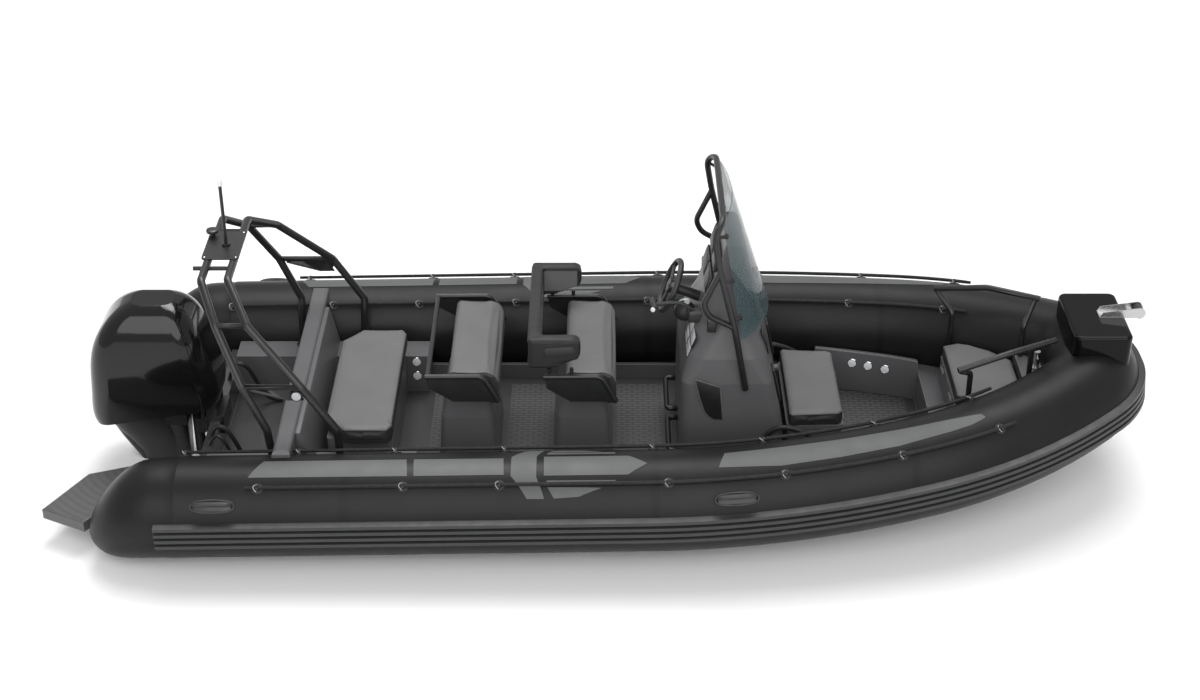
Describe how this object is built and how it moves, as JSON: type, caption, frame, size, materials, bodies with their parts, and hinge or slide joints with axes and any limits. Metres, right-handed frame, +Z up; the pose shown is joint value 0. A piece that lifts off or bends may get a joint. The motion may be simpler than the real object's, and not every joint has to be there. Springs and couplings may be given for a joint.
{
  "type": "rigid inflatable boat",
  "caption": "Rigid inflatable boat: buoyancy collar, V hull, jockey console, two leaning seats, roll bar and a tilting, steering outboard engine.",
  "frame": {"origin": "on the design waterline, on the centreline, amidships", "axes": "+X forward, +Y to port, +Z up from the waterline"},
  "size_m": [6.3173, 2.6046, 2.5913],
  "materials": {
    "hull_gelcoat": "gloss gelcoat",
    "deck_grey": "satin gelcoat",
    "tube_fabric": "satin coated fabric",
    "strake_rubber": "matte",
    "rope": "braided",
    "fitting_rubber": "matte",
    "cushion": "matte vinyl",
    "frame_black": "satin powder coat",
    "lamp_white": "gloss",
    "console_grey": "satin gelcoat",
    "screen_glass": "clear tinted",
    "wheel_black": "satin",
    "steel": "brushed",
    "step_gloss": "high gloss",
    "engine_black": "satin",
    "engine_iron": "as cast",
    "cowl_gloss": "gloss paint"
  },
  "bodies": {
    "boat": {"aft_seat_cushion": "cushion", "aft_seat_pedestal": "deck_grey", "aft_seat_rails": "frame_black", "backrest_posts": "frame_black", "bow_deck": "deck_grey", "bow_locker": "deck_grey", "bow_rails": "frame_black", "bow_side_decks": "deck_grey", "bow_step": "step_gloss", "cockpit_sole": "deck_grey", "cockpit_walls": "deck_grey", "compass": "wheel_black", "console": "console_grey", "console_seat": "deck_grey", "engine_clamp": "engine_black", "foot_rails": "frame_black", "fore_deck": "deck_grey", "fore_seat_backrest": "cushion", "fore_seat_cushion": "cushion", "fore_seat_pedestal": "deck_grey", "fore_seat_rails": "frame_black", "helm_column": "frame_black", "hull": "hull_gelcoat", "lifeline_fittings": "fitting_rubber", "lifeline_inner": "rope", "lifeline_outer": "rope", "light_mast": "frame_black", "mast_lamp": "lamp_white", "mooring_bollard": "steel", "roll_bar_aft_hoop": "frame_black", "roll_bar_fore_hoop": "frame_black", "roll_bar_ties": "frame_black", "roll_bar_top_plate": "frame_black", "roller_bracket": "steel", "rub_strake": "strake_rubber", "stern_bench": "deck_grey", "stern_bench_cushion": "cushion", "stern_bulkhead": "deck_grey", "stern_side_decks": "deck_grey", "stern_tow_eyes": "steel", "swim_platforms": "deck_grey", "transom": "hull_gelcoat", "tube_handles": "fitting_rubber", "tube_port": "tube_fabric", "tube_starboard": "tube_fabric", "windscreen": "screen_glass", "windscreen_frame": "frame_black"},
    "helm": {"helm_wheel": "wheel_black"},
    "bow_locker_hatch": {"bow_locker_lid": "deck_grey", "bow_cushion": "cushion"},
    "console_seat_hatch": {"console_seat_lid": "deck_grey", "console_seat_cushion": "cushion"},
    "roller": {"bow_roller": "strake_rubber"},
    "engine_tilt_body": {"swivel_bracket": "engine_black"},
    "engine_head": {"engine_cowl": "cowl_gloss", "powerhead": "engine_iron", "engine_midsection": "engine_black", "gearcase": "engine_black"},
    "prop": {"propeller": "engine_black"}
  },
  "joints": [
    {"name": "helm_turn", "type": "hinge", "parent": "boat", "child": "helm", "pos_m": [0.404, 0, 1.15], "axis": [-0.9205, 0, 0.3907], "range_deg": [-540, 540]},
    {"name": "bow_locker_open", "type": "hinge", "parent": "boat", "child": "bow_locker_hatch", "pos_m": [2.046, 0, 0.484], "axis": [0, -1, 0], "range_deg": [0, 75]},
    {"name": "console_seat_open", "type": "hinge", "parent": "boat", "child": "console_seat_hatch", "pos_m": [1.414, 0, 0.404], "axis": [0, 1, 0], "range_deg": [0, 75]},
    {"name": "roller_spin", "type": "hinge", "parent": "boat", "child": "roller", "pos_m": [3.11, 0, 0.985], "axis": [0, 1, 0], "continuous": true},
    {"name": "engine_tilt", "type": "hinge", "parent": "boat", "child": "engine_tilt_body", "pos_m": [-2.29, 0, 0.38], "axis": [0, 1, 0], "range_deg": [-4, 60]},
    {"name": "engine_steer", "type": "hinge", "parent": "engine_tilt_body", "child": "engine_head", "pos_m": [-2.4, 0, 0.1], "axis": [0, 0, 1], "range_deg": [-30, 30]},
    {"name": "propeller_spin", "type": "hinge", "parent": "engine_head", "child": "prop", "pos_m": [-2.925, 0, -0.555], "axis": [1, 0, 0], "continuous": true}
  ]
}
